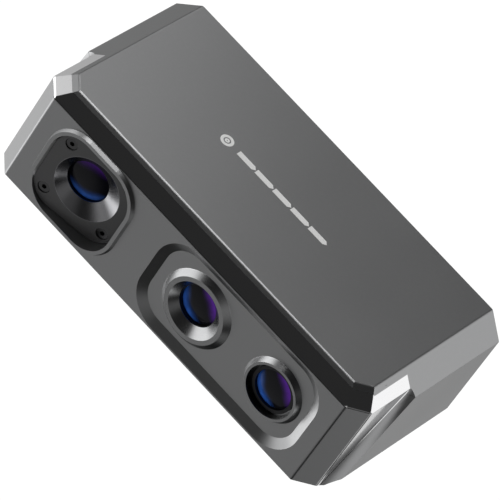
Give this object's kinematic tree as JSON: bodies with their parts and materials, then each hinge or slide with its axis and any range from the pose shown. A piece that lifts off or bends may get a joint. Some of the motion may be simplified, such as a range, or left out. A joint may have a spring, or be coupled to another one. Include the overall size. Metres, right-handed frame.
{
  "type": "handheld scanner",
  "caption": "Faceted metal handheld 3-D scanner with a toed-in pattern projector, a camera pair in a shared recess, a rear scan button and a tripod thread.",
  "frame": {"origin": "middle of the overall box at the underside, where the scanner stands", "axes": "+X along the box towards the outer camera, -Y the way the optics look, +Z out of the large top face"},
  "size_m": [0.12, 0.059, 0.038],
  "materials": {
    "housing_metal": "satin dark grey anodised",
    "rear_metal": "satin near-black anodised",
    "plate_metal": "matte dark grey",
    "hood_metal": "satin dark grey anodised",
    "barrel_metal": "satin black anodised",
    "coated_glass": "clear with a blue and violet coating",
    "filter_glass": "clear",
    "holder_plastic": "matte black",
    "circuit_board": "solder mask",
    "chip_plastic": "moulded black",
    "emitter": "clear resin",
    "bare_aluminium": "bare",
    "screw_steel": "blackened",
    "flat_cable_plastic": "polyimide and white film",
    "seal_rubber": "matte",
    "button_metal": "satin anodised",
    "plunger_plastic": "matte",
    "light_pipe_plastic": "clear",
    "insert_brass": "plain"
  },
  "bodies": {
    "housing": {"board_connectors": "holder_plastic", "board_screws": "screw_steel", "body_shell": "housing_metal", "button_board": "circuit_board", "button_cable": "flat_cable_plastic", "camera_bracket": "bare_aluminium", "camera_screws": "screw_steel", "case_screws": "screw_steel", "front_panel": "housing_metal", "inner_camera_barrel": "barrel_metal", "inner_camera_board": "circuit_board", "inner_camera_cable": "flat_cable_plastic", "inner_camera_filter": "filter_glass", "inner_camera_front_lens": "coated_glass", "inner_camera_holder": "holder_plastic", "inner_camera_hood": "hood_metal", "inner_camera_lock_ring": "barrel_metal", "inner_camera_rear_lens": "coated_glass", "inner_camera_sensor": "chip_plastic", "main_board": "circuit_board", "memory_chips": "chip_plastic", "outer_camera_barrel": "barrel_metal", "outer_camera_board": "circuit_board", "outer_camera_cable": "flat_cable_plastic", "outer_camera_filter": "filter_glass", "outer_camera_front_lens": "coated_glass", "outer_camera_holder": "holder_plastic", "outer_camera_hood": "hood_metal", "outer_camera_lock_ring": "barrel_metal", "outer_camera_rear_lens": "coated_glass", "outer_camera_sensor": "chip_plastic", "pattern_mask": "filter_glass", "processor": "chip_plastic", "processor_heat_sink": "bare_aluminium", "projector_barrel": "barrel_metal", "projector_cable": "flat_cable_plastic", "projector_engine": "holder_plastic", "projector_front_lens": "coated_glass", "projector_heat_sink": "bare_aluminium", "projector_led": "emitter", "projector_led_board": "circuit_board", "projector_mount_screws": "screw_steel", "projector_plate": "plate_metal", "projector_plate_screws": "screw_steel", "projector_rear_lens": "coated_glass", "rear_panel": "rear_metal", "rear_panel_screws": "screw_steel", "rear_seal": "seal_rubber", "scan_switch": "holder_plastic", "shield_can": "screw_steel", "status_led": "emitter", "status_light_pipe": "light_pipe_plastic", "thermal_pad": "seal_rubber", "top_cover": "housing_metal", "tripod_insert": "insert_brass", "usb_socket": "screw_steel"},
    "button": {"scan_button": "button_metal", "switch_plunger": "plunger_plastic"}
  },
  "joints": [
    {"name": "button_press", "type": "slide", "parent": "housing", "child": "button", "axis": [0, -1, 0], "range_m": [0, 0.0005], "stiffness_N_per_m": 3000, "springref_m": -0.0002}
  ]
}
